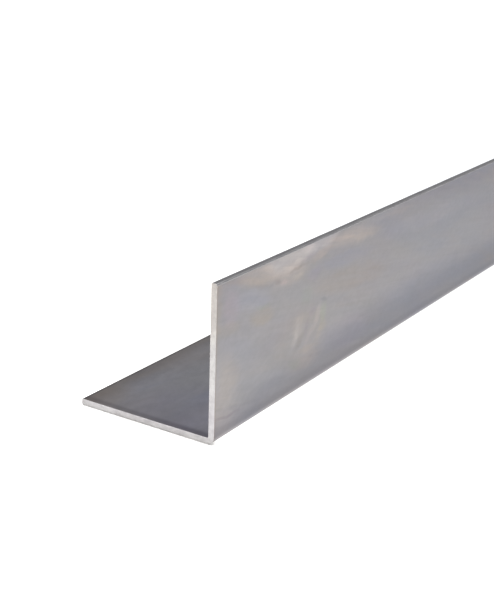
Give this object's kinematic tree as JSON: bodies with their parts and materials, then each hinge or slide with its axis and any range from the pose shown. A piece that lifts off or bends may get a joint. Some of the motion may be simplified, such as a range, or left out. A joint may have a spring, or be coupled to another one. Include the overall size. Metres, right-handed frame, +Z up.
{
  "type": "metal angle section",
  "caption": "Equal-leg angle section of thin bare metal, bent tightly to an L with a small rounded heel, square-cut at both ends; frames, edges and braces.",
  "frame": {"origin": "on the floor plane, half way across the horizontal leg and half way along the length", "axes": "+Z up, +Y along the length, +X from the floor leg's toe towards the standing leg's outer face"},
  "size_m": [0.05, 1, 0.05],
  "materials": {
    "bare_steel": "bare cold-rolled sheet, satin mid grey with faint brown and blue clouding, bright sawn ends"
  },
  "bodies": {
    "root": {"angle_section": "bare_steel"}
  },
  "joints": []
}
